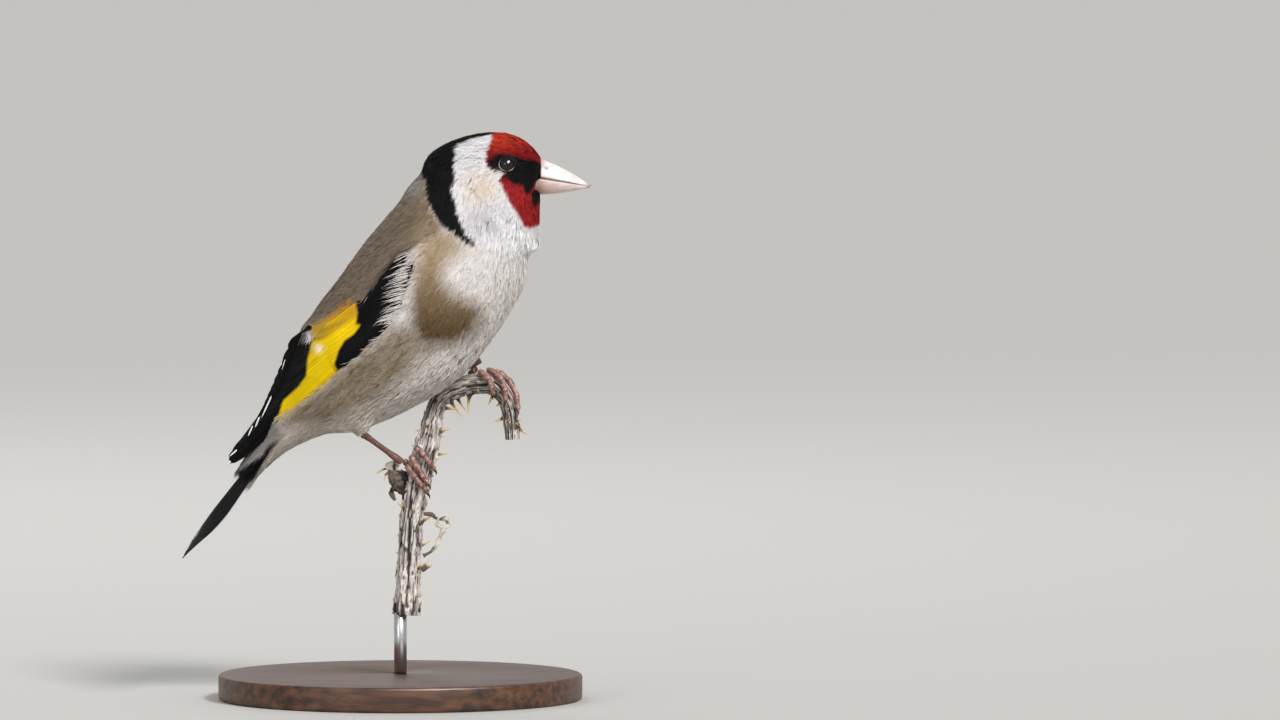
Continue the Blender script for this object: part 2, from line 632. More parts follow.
def head_colours(colour, points, x, y, z):
    """White cheeks, black band and crown, red face and black lores, laid over the body's colours."""
    white = mix(WHITE, CHEEK_BUFF, 0.85 * spot(x, z, (19.6, 121.6), (4.2, 3.6)))
    scaled = spot(x, z, (19.5, 114), (4.5, 3.2)) * noise(points, 0.8)
    white = mix(white, CHEEK_GREY, np.clip(1.2 * scaled, 0, 0.7))
    colour = mix(colour, white, within(HEAD_WHITE, x, z, 0.5))
    brow_line = hill(z - 128.4 + 0.04 * (x - 17), 0, 0.3) * smoothstep(13, 16, x) * (x < 21)
    colour = mix(colour, CHEEK_GREY, 0.45 * brow_line)
    colour = mix(colour, BLACK, within(HEAD_BAND, x, z, 0.6))
    crown_half = np.interp(x, [4, 9, 14, 20, 24], [5, 5, 3.4, 2.5, 1.6])
    crown = smoothstep(0.4, -0.3, y - crown_half) * (z > 126)
    colour = mix(colour, BLACK, crown * smoothstep(4, 6, x) * smoothstep(24.3, 22.5, x))
    red = mix(RED_DEEP, RED_CROWN, smoothstep(128.5, 133, z))
    red = mix(red, RED_THROAT, smoothstep(124, 121, z))
    red = red * (0.5 + 0.95 * noise(points, 0.55))[..., None]
    colour = mix(colour, red, within(RED_FACE, x, z, 0.5))
    return mix(colour, BLACK, np.maximum(within(LORES, x, z, 0.7), within(CHIN_SPOT, x, z, 0.5)))


def plumage(points):
    """Linear colours of the body's plumage at points of its surface."""
    calm = smoothstep(112, 106, points[..., 2])
    wander = (noise(points, 0.9) - 0.5) * (0.2 + 0.6 * calm)
    x, y, z = points[..., 0] + wander, np.abs(points[..., 1]), points[..., 2] + wander
    colour = body_colours(points, x, y, z)
    return np.clip(head_colours(colour, points, x, y, z), 0, 1)


# Skin: one closed surface under the coat

def make_skin():
    ROWS, SIDES = 220, 120
    t, turn = np.meshgrid(np.linspace(0, LAST_RIB, ROWS), full_turn(SIDES), indexing="ij")
    points, _ = coat_surface(t, turn, -feathers_height(t))
    for side in (RIGHT, LEFT):
        eye = np.array([EYE_X, side * EYE_Y, EYE_Z])
        away = points - eye
        reach = np.linalg.norm(away, axis=-1, keepdims=True)
        near = smoothstep(EYE_RADIUS + 0.6, EYE_RADIUS - 0.1, reach)
        inward = np.array([0, -side * 1.5, 0])
        points = points + near * inward
    ends = np.stack([points[0].mean(0), points[-1].mean(0)])
    points = np.concatenate([points.reshape(-1, 3), ends])
    uv = np.stack([turn / (2 * math.pi), t / LAST_RIB], -1).reshape(-1, 2)
    uv = np.concatenate([uv, [[0.5, 0], [0.5, 1]]])
    colours = plumage(points) * 0.7
    names = ["head", "neck", "breast", "trunk", "rump", "thigh_left", "thigh_right"]
    faces = closed_grid(ROWS, SIDES, flip=True)
    make_mesh("skin", points, faces, skin_material, colours, uv, replaces=names)


# Coat: tapering blades in loose tufts that lie along the body from the bill to the tail

TUFT_PATCH = 0.003
BLADE_ROWS = 3
BLADES_PER_TUFT = 12


def blade_mesh(paths, across, widths, colours, uv_root):
    """Blades along paths (blade, row, xyz), each two points wide and ending in a point."""
    count, rows = paths.shape[0], paths.shape[1] - 1
    f = np.arange(rows) / rows
    taper = np.interp(f, [0, 0.35, 0.7, 1], [0.7, 1, 0.75, 0.1])
    half = across[:, None, :] * (widths[:, None] * taper[None, :] / 2)[..., None]
    body = np.stack([paths[:, :rows] - half, paths[:, :rows] + half], 2).reshape(count, rows * 2, 3)
    points = np.concatenate([body, paths[:, rows:]], 1)
    per = rows * 2 + 1
    pattern = []
    for row in range(rows - 1):
        a = row * 2
        pattern += [(a, a + 1, a + 3), (a, a + 3, a + 2)]
    pattern.append((per - 3, per - 2, per - 1))
    faces = (np.array(pattern)[None] + (np.arange(count) * per)[:, None, None]).reshape(-1, 3)
    level = np.concatenate([np.repeat(f, 2), [1]])
    shade = np.interp(level, [0, 0.35, 1], [0.5, 0.88, 1.1])
    blended = colours[:, None, :] * shade[None, :, None]
    side = np.concatenate([np.tile([-0.5, 0.5], rows), [0]])
    offsets = np.stack([side, level - 0.5], -1) * TUFT_PATCH
    uv = uv_root[:, None, :] + offsets[None]
    return points.reshape(-1, 3), faces, blended.reshape(-1, 3), uv.reshape(-1, 2)


def scatter(t_range, turn_range, per_mm2):
    """Roots spread evenly over an area of the body."""
    t_edges = np.linspace(*t_range, 90)
    turn_edges = np.linspace(*turn_range, 90)
    t, turn = np.meshgrid((t_edges[1:] + t_edges[:-1]) / 2, (turn_edges[1:] + turn_edges[:-1]) / 2)
    dt, du = t_edges[1] - t_edges[0], turn_edges[1] - turn_edges[0]
    along = (body_point(t + 0.02, turn) - body_point(t - 0.02, turn)) / 0.04 * dt
    around = (body_point(t, turn + 0.01) - body_point(t, turn - 0.01)) / 0.02 * du
    area = np.linalg.norm(np.cross(along, around), axis=-1).ravel()
    count = int(area.sum() * per_mm2)
    cell = rng.choice(area.size, count, p=area / area.sum())
    return (
        t.ravel()[cell] + rng.uniform(-0.5, 0.5, count) * dt,
        turn.ravel()[cell] + rng.uniform(-0.5, 0.5, count) * du,
    )


def near_eye(points, radius):
    flat = np.hypot(points[..., 0] - EYE_X, points[..., 2] - EYE_Z)
    return (flat < radius) & (np.abs(points[..., 1]) > 3)


def grow_coat(name, t_range, turn_range, tufts_per_mm2, length, width, spread, lift):
    """Tufts of blades over an area of the body."""
    tuft_t, tuft_turn = scatter(t_range, turn_range, tufts_per_mm2)
    count = len(tuft_t) * BLADES_PER_TUFT
    t = np.repeat(tuft_t, BLADES_PER_TUFT)
    turn = np.repeat(tuft_turn, BLADES_PER_TUFT)
    tuft_lift = np.repeat(rng.normal(0, 0.09, len(tuft_t)), BLADES_PER_TUFT)
    tuft_shade = np.repeat(rng.normal(1, 0.05, len(tuft_t)), BLADES_PER_TUFT)
    tuft_sweep = np.repeat(rng.normal(0, 0.14, len(tuft_t)), BLADES_PER_TUFT)
    step = 0.01
    along = np.linalg.norm(body_point(t + step, turn) - body_point(t - step, turn), axis=-1) / (2 * step)
    around = np.linalg.norm(body_point(t, turn + step) - body_point(t, turn - step), axis=-1) / (2 * step)
    aside = rng.normal(0, spread, count)
    t = np.clip(t + rng.normal(0, spread * 1.3, count) / np.maximum(along, 1.2), *t_range)
    turn = turn + aside / np.maximum(around, 0.6)
    uv_v = (t - t_range[0]) / (t_range[1] - t_range[0])
    uv_u = (turn - turn_range[0]) / (turn_range[1] - turn_range[0])
    uv_root = np.clip(np.stack([uv_u, uv_v], -1), 0.002, 0.998)
    lengths = length * rng.uniform(0.75, 1.2, count)
    depth = feathers_height(t)
    root, _ = coat_surface(t, turn, 0)
    beside = distance_inside(WING_OUTLINE, root[:, 0], root[:, 2])
    below = smoothstep(0.6, 0.9, np.abs(np.sin(turn / 2))) * (root[:, 0] > -14)
    onto_wing = -np.sign(np.sin(turn)) * 0.25 * hill(beside, -0.8, 1.8) * below
    path = []
    here = t.copy()
    for row in range(BLADE_ROWS + 1):
        f = row / BLADE_ROWS
        drift = (-0.62 * aside * f + (tuft_sweep + onto_wing) * lengths * f * f) / np.maximum(around, 0.6)
        height = -0.8 * depth + (0.8 * depth + lift + tuft_lift) * f**0.8
        point, gap = coat_surface(here, turn + drift, height)
        path.append(point)
        if row == 0:
            root_gap = gap
        rate = np.linalg.norm(body_point(here, turn) - body_point(here - 0.02, turn), axis=-1) / 0.02
        here = here - lengths / BLADE_ROWS / np.maximum(rate, 0.9)
    path = np.stack(path, 1)
    ahead = body_point(t, turn + step) - body_point(t, turn - step)
    outward = unit(body_point(t, turn, 0.1) - body_point(t, turn))
    roll = rng.normal(0, 0.45, count)[:, None]
    across = unit(unit(ahead) * np.cos(roll) + outward * np.sin(roll))
    draped = (np.cos(turn) > 0.1) & (root[:, 0] < -5) & (root[:, 0] > -21.5)
    keep = (root_gap < -0.1 + 0.15 * draped) & ~near_eye(path, LID_REACH).any(1)
    keep &= behind_bill(path[:, 1]) > 0.1
    colours = plumage((path[:, 1] + path[:, 2]) / 2)
    colours = np.clip(colours * (tuft_shade * rng.normal(1, 0.06, count))[:, None], 0, 1)
    widths = width * rng.uniform(0.7, 1.3, count)
    points, faces, shades, uv = blade_mesh(
        path[keep], across[keep], widths[keep], colours[keep], uv_root[keep]
    )
    make_mesh(name, points, faces, coat_material, shades, uv)


def grow_thigh(foot, leg):
    """The skirt of feathers that each leg comes out of."""
    COUNT = 1500
    knee, heel, ankle = (np.array(leg[part], float) for part in ("knee", "heel", "ankle"))
    down = unit(heel - knee)
    guide = unit(np.cross(down, np.array([0.0, 1, 0])))
    other = np.cross(down, guide)
    f = rng.uniform(0.1, 0.66, COUNT)
    turn = rng.uniform(0, 2 * math.pi, COUNT)
    ring = guide * np.cos(turn)[:, None] + other * np.sin(turn)[:, None]
    shank = unit(ankle - heel)
    path = []
    for row in range(BLADE_ROWS + 1):
        g = row / BLADE_ROWS
        place = f + g * rng.normal(0.4, 0.03, COUNT)
        over = np.clip(place - 1, 0, 1)[:, None]
        centre = knee + (heel - knee) * np.minimum(place, 1)[:, None] + shank * over * 7
        radius = np.interp(place, [0, 0.6, 1, 1.2], [3, 2.4, 1.35, 1]) + 0.2 * g
        path.append(centre + ring * radius[:, None])
    path = np.stack(path, 1)
    uv_root = np.clip(np.stack([turn / (2 * math.pi), f], -1), 0.002, 0.998)
    across = unit(np.cross(ring, down))
    grey = mix(BELLY * 0.75, FLANK * 1.1, rng.uniform(0, 0.8, COUNT))
    points, faces, shades, uv = blade_mesh(path, across, rng.uniform(0.16, 0.3, COUNT), grey, uv_root)
    make_mesh(f"coat_thigh_{foot}", points, faces, coat_material, shades, uv)


def body_place(x, z):
    """Rib and turn of the body's surface at places seen from the side."""
    t, turn, cloud = body_cloud()
    away = (cloud[None, :, 0] - x[:, None]) ** 2 + (cloud[None, :, 2] - z[:, None]) ** 2
    nearest = away.argmin(1)
    return t[nearest], turn[nearest]


def grow_whiskers():
    """Long loose strands of the breast that curl over the front edge of each wing."""
    COUNT = 180
    roots = np.array([(3.4, 106.5), (3, 102), (1.8, 97), (0.8, 93.2), (-1.6, 90)])
    tips = np.array([(-1.8, 104.6), (-4.2, 99.5), (-5.4, 95.6), (-5.2, 91.8), (-6.8, 88.6)])
    f = rng.uniform(0, 4, COUNT)
    lock = np.round(f * 7) / 7
    start = smooth_along(roots, f) + rng.normal(0, 0.45, (COUNT, 2))
    end = smooth_along(tips, 0.35 * f + 0.65 * lock) + rng.normal(0, 0.3, (COUNT, 2))
    reach = 0.25 + 0.75 * rng.uniform(0, 1, COUNT) ** 2
    end = start + (end - start) * reach[:, None]
    g = np.linspace(0, 1, BLADE_ROWS + 1)[None, :, None]
    sag = np.sin(g * math.pi) * rng.normal(0.35, 0.25, COUNT)[:, None, None] * np.array([0, 1])
    flat = start[:, None] * (1 - g) + end[:, None] * g + sag
    lift = WING_LAP - 0.35 + 0.5 * g[..., 0] + rng.uniform(0, 0.25, COUNT)[:, None]
    t, turn = body_place(start[:, 0], start[:, 1])
    uv_root = np.clip(np.stack([turn / (2 * math.pi), t / LAST_RIB], -1), 0.002, 0.998)
    along = unit(flat[:, -1] - flat[:, 0])
    across = np.stack([-along[:, 1], np.full(COUNT, 0.3), along[:, 0]], -1)
    widths = rng.uniform(0.08, 0.16, COUNT)
    colours = mix(WHITE, BELLY, rng.uniform(0.2, 1, COUNT))
    for side, name in BOTH_SIDES:
        y = side * (wing_y(flat[..., 0], flat[..., 1]) + lift)
        path = np.stack([flat[..., 0], y, flat[..., 1]], -1)
        turned = unit(across * np.array([1, side, 1]))
        points, faces, shades, uv = blade_mesh(path, turned, widths, colours, uv_root)
        make_mesh(f"coat_whiskers_{name}", points, faces, coat_material, shades, uv)


def make_coat():
    half, whole = math.pi / 2, 2 * math.pi
    # Name, ribs, turns, tufts in a square mm, then length, width, spread and lift of the blades in mm
    coats = [
        ("coat_rump", (0.0, 3.3), (0, whole), 2.6, 3.6, 0.22, 0.45, 0.1),
        ("coat_back", (3.3, 8), (-half, half), 2.1, 3.6, 0.24, 0.45, 0.08),
        ("coat_belly", (3.3, 8), (half, 3 * half), 1.5, 3.8, 0.3, 0.5, 0.12),
        ("coat_nape", (8, 12.4), (-half, half), 2.9, 3, 0.2, 0.4, 0.08),
        ("coat_breast", (8, 12.4), (half, 3 * half), 2.3, 3.4, 0.24, 0.45, 0.15),
        ("coat_crown", (12.4, 18), (-half, half), 5, 1.9, 0.15, 0.25, 0.1),
        ("coat_cheek", (12.4, 18), (half, 3 * half), 6.4, 2, 0.15, 0.25, 0.07),
    ]
    for coat in coats:
        grow_coat(*coat)
    grow_whiskers()
    for foot, leg in LEGS.items():
        grow_thigh(foot, leg)


# Wings: vanes laid over a thin underlay on the folded wing

# White edges at the feathers' tips: start and end seen from the side, and width
WHITE_TIPS = [
    ((-30.2, 72), (-32.6, 66.8), 0.34),
    ((-33.1, 67), (-34.1, 64.5), 0.36),
    ((-34.7, 64.9), (-35.8, 62.4), 0.32),
    ((-38.4, 59.2), (-40.2, 57.6), 0.34),
    ((-39.9, 56.5), (-40.7, 55.6), 0.42),
    ((-27.0, 80.6), (-27.8, 78), 0.18),
]


def wing_colours(points):
    x, z = points[..., 0], points[..., 2]
    sheen = noise(points, 2.2)[..., None]
    colour = np.broadcast_to(BLACK, points.shape) * (0.75 + 0.5 * sheen)
    shade = mix(YELLOW, GOLD, smoothstep(86, 93, z + 0.1 * x) * 0.8)
    colour = mix(colour, shade, within(YELLOW_PANEL, x, z, 0.5))
    return mix(colour, WHITE * 0.9, 0.7 * spot(x, z, (-19, 83.6), (1.1, 0.9)))


def vane(root, tip, width, layer, bow=0.0, tip_shape=0.22, tilt=0.13, rows=34, columns=11, colour=None):
    """A feather as a thin closed shell on the wing, from a root to a tip seen from the side."""
    root, tip = np.array(root, float), np.array(tip, float)
    length = np.linalg.norm(tip - root)
    ahead = (tip - root) / length
    aside = np.array([ahead[1], -ahead[0]])
    f = np.linspace(0, 1, rows)
    c = np.linspace(-1, 1, columns)
    rounding = np.sqrt(np.clip(1 - ((f - (1 - tip_shape)) / tip_shape).clip(0, 1) ** 2, 0, 1))
    outline = np.maximum(np.sqrt(f / 0.12).clip(0, 1) * rounding, 0.02)
    centre = root + ahead * (f * length)[:, None] + aside * (bow * np.sin(f * math.pi))[:, None]
    flat = centre[:, None, :] + aside * (outline[:, None] * c[None, :] * width / 2)[..., None]
    shaft = hill(c[None, :], 0, 0.12)
    barbs = 0.025 * np.sin(40 * c[None, :] + 10 * f[:, None])
    sink = 0.5 * smoothstep(0.12, 0, f)[:, None]
    rise = layer - tilt * c[None, :] + 0.06 * (1 - c[None, :] ** 2) + 0.04 * shaft + barbs - sink
    y = wing_y(flat[..., 0], flat[..., 1]) + rise
    top = np.stack([flat[..., 0], -y, flat[..., 1]], -1).reshape(-1, 3)
    under = top + np.array([0, 0.09, 0])
    faces = grid_faces(rows, columns)
    per = rows * columns
    rim = list(range(columns)) + [r * columns + columns - 1 for r in range(1, rows)]
    rim += [(rows - 1) * columns + k for k in range(columns - 2, -1, -1)]
    rim += [r * columns for r in range(rows - 2, 0, -1)]
    rim = np.array(rim)
    edge = np.stack([rim, np.roll(rim, -1), np.roll(rim, -1) + per, rim + per], -1)
    shell = np.concatenate([top, under])
    rim_light = 1 + 0.5 * np.abs(np.broadcast_to(c, (rows, columns)).ravel()) ** 8
    tone = np.concatenate([rim_light, rim_light]) * rng.uniform(0.85, 1.1)
    base = wing_colours(shell) if colour is None else np.broadcast_to(colour, shell.shape)
    return shell, np.concatenate([faces[:, ::-1], faces + per, edge]), base * tone[:, None]


def between(a, b, f):
    return (a[0] + (b[0] - a[0]) * f, a[1] + (b[1] - a[1]) * f)


def along_points(points, f):
    place = f * (len(points) - 1)
    k = min(int(place), len(points) - 2)
    return between(points[k], points[k + 1], place - k)


FLIGHT_TIPS = [
    (-40.2, 55.9), (-40.5, 57.2), (-38.2, 59.6), (-36.4, 61.6), (-34.9, 63.5), (-33.6, 65.5),
    (-32.5, 67.3), (-31.4, 69.6), (-30.2, 72), (-28.9, 75), (-27.4, 78.4),
]
TERTIALS = [((-18.2, 87), (-27.8, 76.4)), ((-19, 87.8), (-27.2, 79.6)), ((-19.6, 88), (-26, 82.6))]
# Coverts: how many, first and last root, first and last tip, width, first layer, layer step, tip shape
COVERTS = [
    (9, (-6, 88.4), (-7.2, 95), (-15.4, 79), (-19.6, 85.6), 2.7, 0.36, 0.015, 0.25),
    (5, (-2, 89.4), (-3, 93), (-14.4, 79.4), (-13, 82.6), 2, 0.42, 0, 0.22),
    (9, (-1, 92.4), (-1.6, 101), (-7.6, 85.7), (-9.6, 92.2), 2.3, 0.5, 0.01, 0.4),
]


def wing_vanes():
    """The feathers of one wing, from the lowest layer to the highest."""
    FLIGHT, SCALE_ROWS, SCALES = 16, 4, 6
    vanes = []
    for k in range(FLIGHT):
        f = k / (FLIGHT - 1)
        root, tip = between((-12.5, 79.9), (-16.5, 86.4), f), along_points(FLIGHT_TIPS, f)
        vanes.append(vane(root, tip, 2.5 + 1.9 * f, 0.08 + 0.022 * k, bow=-0.4 * f, tip_shape=0.16))
    for root, tip in TERTIALS:
        vanes.append(vane(root, tip, 4.2, 0.45, bow=-0.5, tip_shape=0.3))
    for count, first_root, last_root, first_tip, last_tip, width, layer, step, tip_shape in COVERTS:
        for k in range(count):
            f = k / (count - 1)
            root, tip = between(first_root, last_root, f), between(first_tip, last_tip, f)
            vanes.append(vane(root, tip, width, layer + step * k, tip_shape=tip_shape))
    for row in range(SCALE_ROWS):
        first, last = (0.9 + row, 96 + row * 2.6), (-2.2 + row * 1.4, 101.6 + row * 1.5)
        for k in range(SCALES):
            root = between(first, last, (k + 0.5 * (row % 2)) / SCALES)
            tip = (root[0] - 3.4, root[1] - 4)
            vanes.append(vane(root, tip, 1.9, 0.56 + 0.02 * row, tip_shape=0.55, rows=14))
    edge = {"tip_shape": 0.6, "tilt": 0, "rows": 10, "columns": 5, "colour": WHITE * 0.9}
    for root, tip, width in WHITE_TIPS:
        vanes.append(vane(root, tip, width, 0.68, **edge))
    return vanes


def wing_underlay():
    """The closed core of one wing, coloured like its feathers."""
    rows, columns = WING_X.shape
    inner = np.where(WING_FLANK > 0, WING_FLANK + 0.2, 0)
    inner = np.minimum(np.maximum(WING_Y - WING_THICKNESS, inner), WING_Y - 0.45)
    outer = np.stack([WING_X, -(WING_Y - 0.12), WING_Z], -1)
    back = np.stack([WING_X, -inner, WING_Z], -1)
    ring = np.concatenate([outer, back[:, ::-1]], 1)
    faces = grid_faces(rows, columns * 2, wrap=True)
    points = ring.reshape(-1, 3)
    return points, faces, wing_colours(points)


def make_wings():
    points, faces, colours = join([wing_underlay()] + wing_vanes())
    for side, name in BOTH_SIDES:
        shape = points * np.array([1, -side, 1])
        order = faces if side == RIGHT else faces[:, ::-1]
        nodes = [f"wing_{name}_{part}" for part in ("coverts", "secondaries", "primaries")]
        make_mesh(f"wing_{name}", shape, order, vane_material, colours, replaces=nodes)


# Tail

def tail_place(f, out, side, lift):
    """A point of the tail: f from root to tip, out from the middle line to the edge."""
    f, out = np.broadcast_arrays(f, out)
    end = TAIL_INNER + (TAIL_OUTER - TAIL_INNER) * np.clip(out, 0, 1.1)[..., None]
    ahead = unit(end - TAIL_ROOT)
    length = np.linalg.norm(end - TAIL_ROOT, axis=-1)
    level = np.clip(f, 0, 1)
    fall = TAIL_DROP * np.abs(out) * np.sqrt(level) * (1 - 0.95 * smoothstep(0.55, 1, f)) - lift
    half = TAIL_ROOT_HALF + (TAIL_END_HALF - TAIL_ROOT_HALF) * np.sqrt(level)
    x = TAIL_ROOT[0] + ahead[..., 0] * length * f - ahead[..., 1] * fall
    z = TAIL_ROOT[1] + ahead[..., 1] * length * f + ahead[..., 0] * fall
    return np.stack([x, side * (0.15 + half * out), z], -1)


def rectrix(k, side):
    """The k-th feather of one half of the tail, from the middle to the outer edge."""
    ROWS, COLUMNS = 40, 9
    LAST = TAIL_HALF_FEATHERS - 1
    out = 0.08 + 0.84 * k / LAST
    f = np.linspace(0, 1, ROWS)[:, None]
    c = np.linspace(-1, 1, COLUMNS)[None, :]
    point = 0.24 if k > 3 else 0.1
    rounding = np.clip(1 - ((f - 1 + point) / point).clip(0, 1) ** 1.8, 0.02, 1)
    reach = f * (1 if k > 3 else 0.965 + 0.006 * k)
    spread = np.clip(out + 0.2 * c * rounding, -0.02, 1.03)
    layer = 0.45 - 0.13 * k - 0.1 * c + 0.05 * hill(c, 0, 0.12)
    layer = layer * (1 - 0.6 * smoothstep(0.7, 1, f))
    top = tail_place(reach, spread, side, layer)
    under = tail_place(reach, spread, side, layer - 0.14)
    shell = np.concatenate([top.reshape(-1, 3), under.reshape(-1, 3)])
    per = ROWS * COLUMNS
    faces = grid_faces(ROWS, COLUMNS)
    rows = np.arange(ROWS - 1) * COLUMNS
    inner_edge = np.stack([rows, rows + COLUMNS, rows + COLUMNS + per, rows + per], -1)
    outer_edge = inner_edge[:, ::-1] + COLUMNS - 1
    ends = np.arange(COLUMNS - 1) + (ROWS - 1) * COLUMNS
    tip_edge = np.stack([ends, ends + 1, ends + 1 + per, ends + per], -1)
    faces = np.concatenate([faces, faces[:, ::-1] + per, inner_edge, outer_edge, tip_edge])
    level = np.tile(np.broadcast_to(f, (ROWS, COLUMNS)).ravel(), 2)
    place = np.tile(np.broadcast_to(c, (ROWS, COLUMNS)).ravel(), 2)
    colours = BLACK * (0.8 + 0.5 * noise(shell, 2))[:, None]
    if k < 2:
        white = 0.9 * smoothstep(0.9, 0.93, level) * smoothstep(0.5, -0.2, place)
    elif k > 3:
        window = 0.9 * smoothstep(0.5, 0.6, level) * smoothstep(0.8, 0.72, level)
        rim = 0.55 * smoothstep(0.8, 1, place) * smoothstep(0.3, 0.4, level)
        rim = rim * smoothstep(0.75, 0.65, level) * (k == LAST)
        white = np.maximum(window * smoothstep(0, -0.4, place), rim)
    else:
        white = 0.5 * smoothstep(0.97, 0.99, level)
    colours = mix(colours, WHITE * 0.9, np.clip(white, 0, 1))
    return shell, faces if side == RIGHT else faces[:, ::-1], colours


def make_tail():
    for side, name in BOTH_SIDES:
        points, faces, colours = join([rectrix(k, side) for k in range(TAIL_HALF_FEATHERS)])
        node = f"tail_{name}"
        make_mesh(node + "_feathers", points, faces, vane_material, colours, replaces=[node])


# Bill

def gape(x):
    return np.interp(x, [BILL_BACK - 2, BILL_TIP[0]], [GAPE_HEIGHT + 0.3, BILL_TIP[1]])


def bill_half(upward):
    """Points and faces of the upper or lower half of the bill."""
    ROWS, SIDES = 48, 36
    back = BILL_BACK if upward else 30.6
    x = back + (BILL_TIP[0] + (0.15 if upward else -0.35) - back) * np.linspace(0, 1, ROWS) ** 0.9
    f = np.clip((x - BILL_BACK) / (BILL_TIP[0] + 0.2 - BILL_BACK), 0, 1)
    width = 3.8 * (1 - f) ** 0.85 + 0.1
    middle = gape(x)
    if upward:
        ridge = middle + 4.3 * (1 - f) + 0.75 * np.sin(f * math.pi) * (1 - 0.4 * f) + 0.1
        floor = middle + 0.03
    else:
        floor = middle - 0.1 - 2.2 * smoothstep(BILL_BACK, 30.8, x)
        ridge = middle - 0.2 - 3.75 * (1 - f**1.25) * (1 - 0.12 * smoothstep(BILL_BACK, 30.8, x))
        width = width * (1 - 0.1 * smoothstep(BILL_BACK, 30.8, x))
    turn = full_turn(SIDES)
    sine, cosine = np.sin(turn)[None, :], np.cos(turn)[None, :]
    keel = np.sign(sine) * np.abs(sine) ** 1.15
    z = floor[:, None] + np.maximum(keel, 0) * (ridge - floor)[:, None]
    bow = np.minimum(sine, 0) * (-0.12 if upward else 0.12)
    z = z + bow * width[:, None]
    y = np.sign(cosine) * np.abs(cosine) ** 0.92 * width[:, None]
    points = np.stack([np.broadcast_to(x[:, None], y.shape), y, z], -1)
    tip = np.array([[x[-1] + 0.05, 0, (ridge[-1] + floor[-1]) / 2]])
    start = points[0].mean(0)[None]
    points = np.concatenate([points.reshape(-1, 3), start, tip])
    return points, closed_grid(ROWS, SIDES, flip=upward)


def make_bill():
    ivory = srgb(238, 228, 226)
    pink = srgb(206, 158, 148)
    tip_brown = srgb(132, 106, 92)
    culmen = srgb(96, 78, 84)
    for name, upward in (("bill_upper", True), ("bill_lower", False)):
        points, faces = bill_half(upward)
        x, z = points[:, 0], points[:, 2]
        f = np.clip((x - BILL_BACK) / (BILL_TIP[0] - BILL_BACK), 0, 1)
        above = (z - gape(x)) / 4
        colour = mix(ivory, pink, smoothstep(0.4, -0.9, above) * 0.75 * (1 - 0.5 * f))
        colour = mix(colour, tip_brown, smoothstep(0.84, 1, f) * 0.9)
        streaks = noise(points * np.array([0.25, 2, 2]), 0.8)
        colour = mix(colour, pink * 0.85, 0.35 * smoothstep(0.5, 0.8, streaks))
        colour = mix(colour, pink * 0.8, smoothstep(0.14, 0, f) * 0.6)
        seam = hill(z, gape(x), 0.14) * smoothstep(0.97, 0.7, f)
        colour = mix(colour, srgb(140, 84, 66), 0.75 * seam)
        if upward:
            ridge = smoothstep(0.5, 0.2, np.abs(points[:, 1]) * (1 + f)) * (above > 0.15)
            colour = mix(colour, culmen, 0.7 * ridge * smoothstep(0.02, 0.2, f))
            nostril = spot(x, z, (34.6, 125.6), (0.5, 0.3))
            colour = mix(colour, srgb(60, 36, 34), 0.9 * nostril)
        make_mesh(name + "_horn", points, faces, bill_material, colour, replaces=[name])


# Eyes

def eye_material():
    material, nodes, links, shader = new_material("eye_ball")
    shader.inputs["Roughness"].default_value = 0.03
    shader.inputs["Specular IOR Level"].default_value = 0.5
    texture = nodes.new("ShaderNodeTexNoise")
    texture.inputs["Scale"].default_value = 2500
    tinted(nodes, links, shader, texture, 0.7, 1.3)
    return material


def sphere(rows, sides):
    """Points and faces of a unit ball with its pole along y."""
    down, turn = np.meshgrid(np.linspace(0.001, math.pi - 0.001, rows), full_turn(sides), indexing="ij")
    points = np.stack([np.sin(down) * np.cos(turn), np.cos(down), np.sin(down) * np.sin(turn)], -1)
    return points.reshape(-1, 3), grid_faces(rows, sides, wrap=True)


def make_eyes():
    ball_material = eye_material()
    pupil, iris = srgb(3, 2, 3), srgb(20, 11, 9)
    for side, name in BOTH_SIDES:
        points, faces = sphere(48, 56)
        outward = points[:, 1]
        from_axis = np.hypot(points[:, 0], points[:, 2]) * EYE_RADIUS
        bulge = 1 + 0.05 * smoothstep(1.5, 0, from_axis) * (outward > 0)
        colours = mix(iris, pupil, smoothstep(1.05, 0.9, from_axis) * (outward > 0))
        colours = mix(colours, srgb(10, 7, 6), smoothstep(1.25, 1.45, from_axis))
        ball = points * bulge[:, None] * EYE_RADIUS * np.array([1, side, 1])
        ball = ball + np.array([EYE_X, side * EYE_Y, EYE_Z])
        order = faces[:, ::-1] if side == LEFT else faces
        make_mesh(f"eye_{name}_ball", ball, order, ball_material, colours, replaces=[f"eye_{name}"])
        make_lid(name, side)


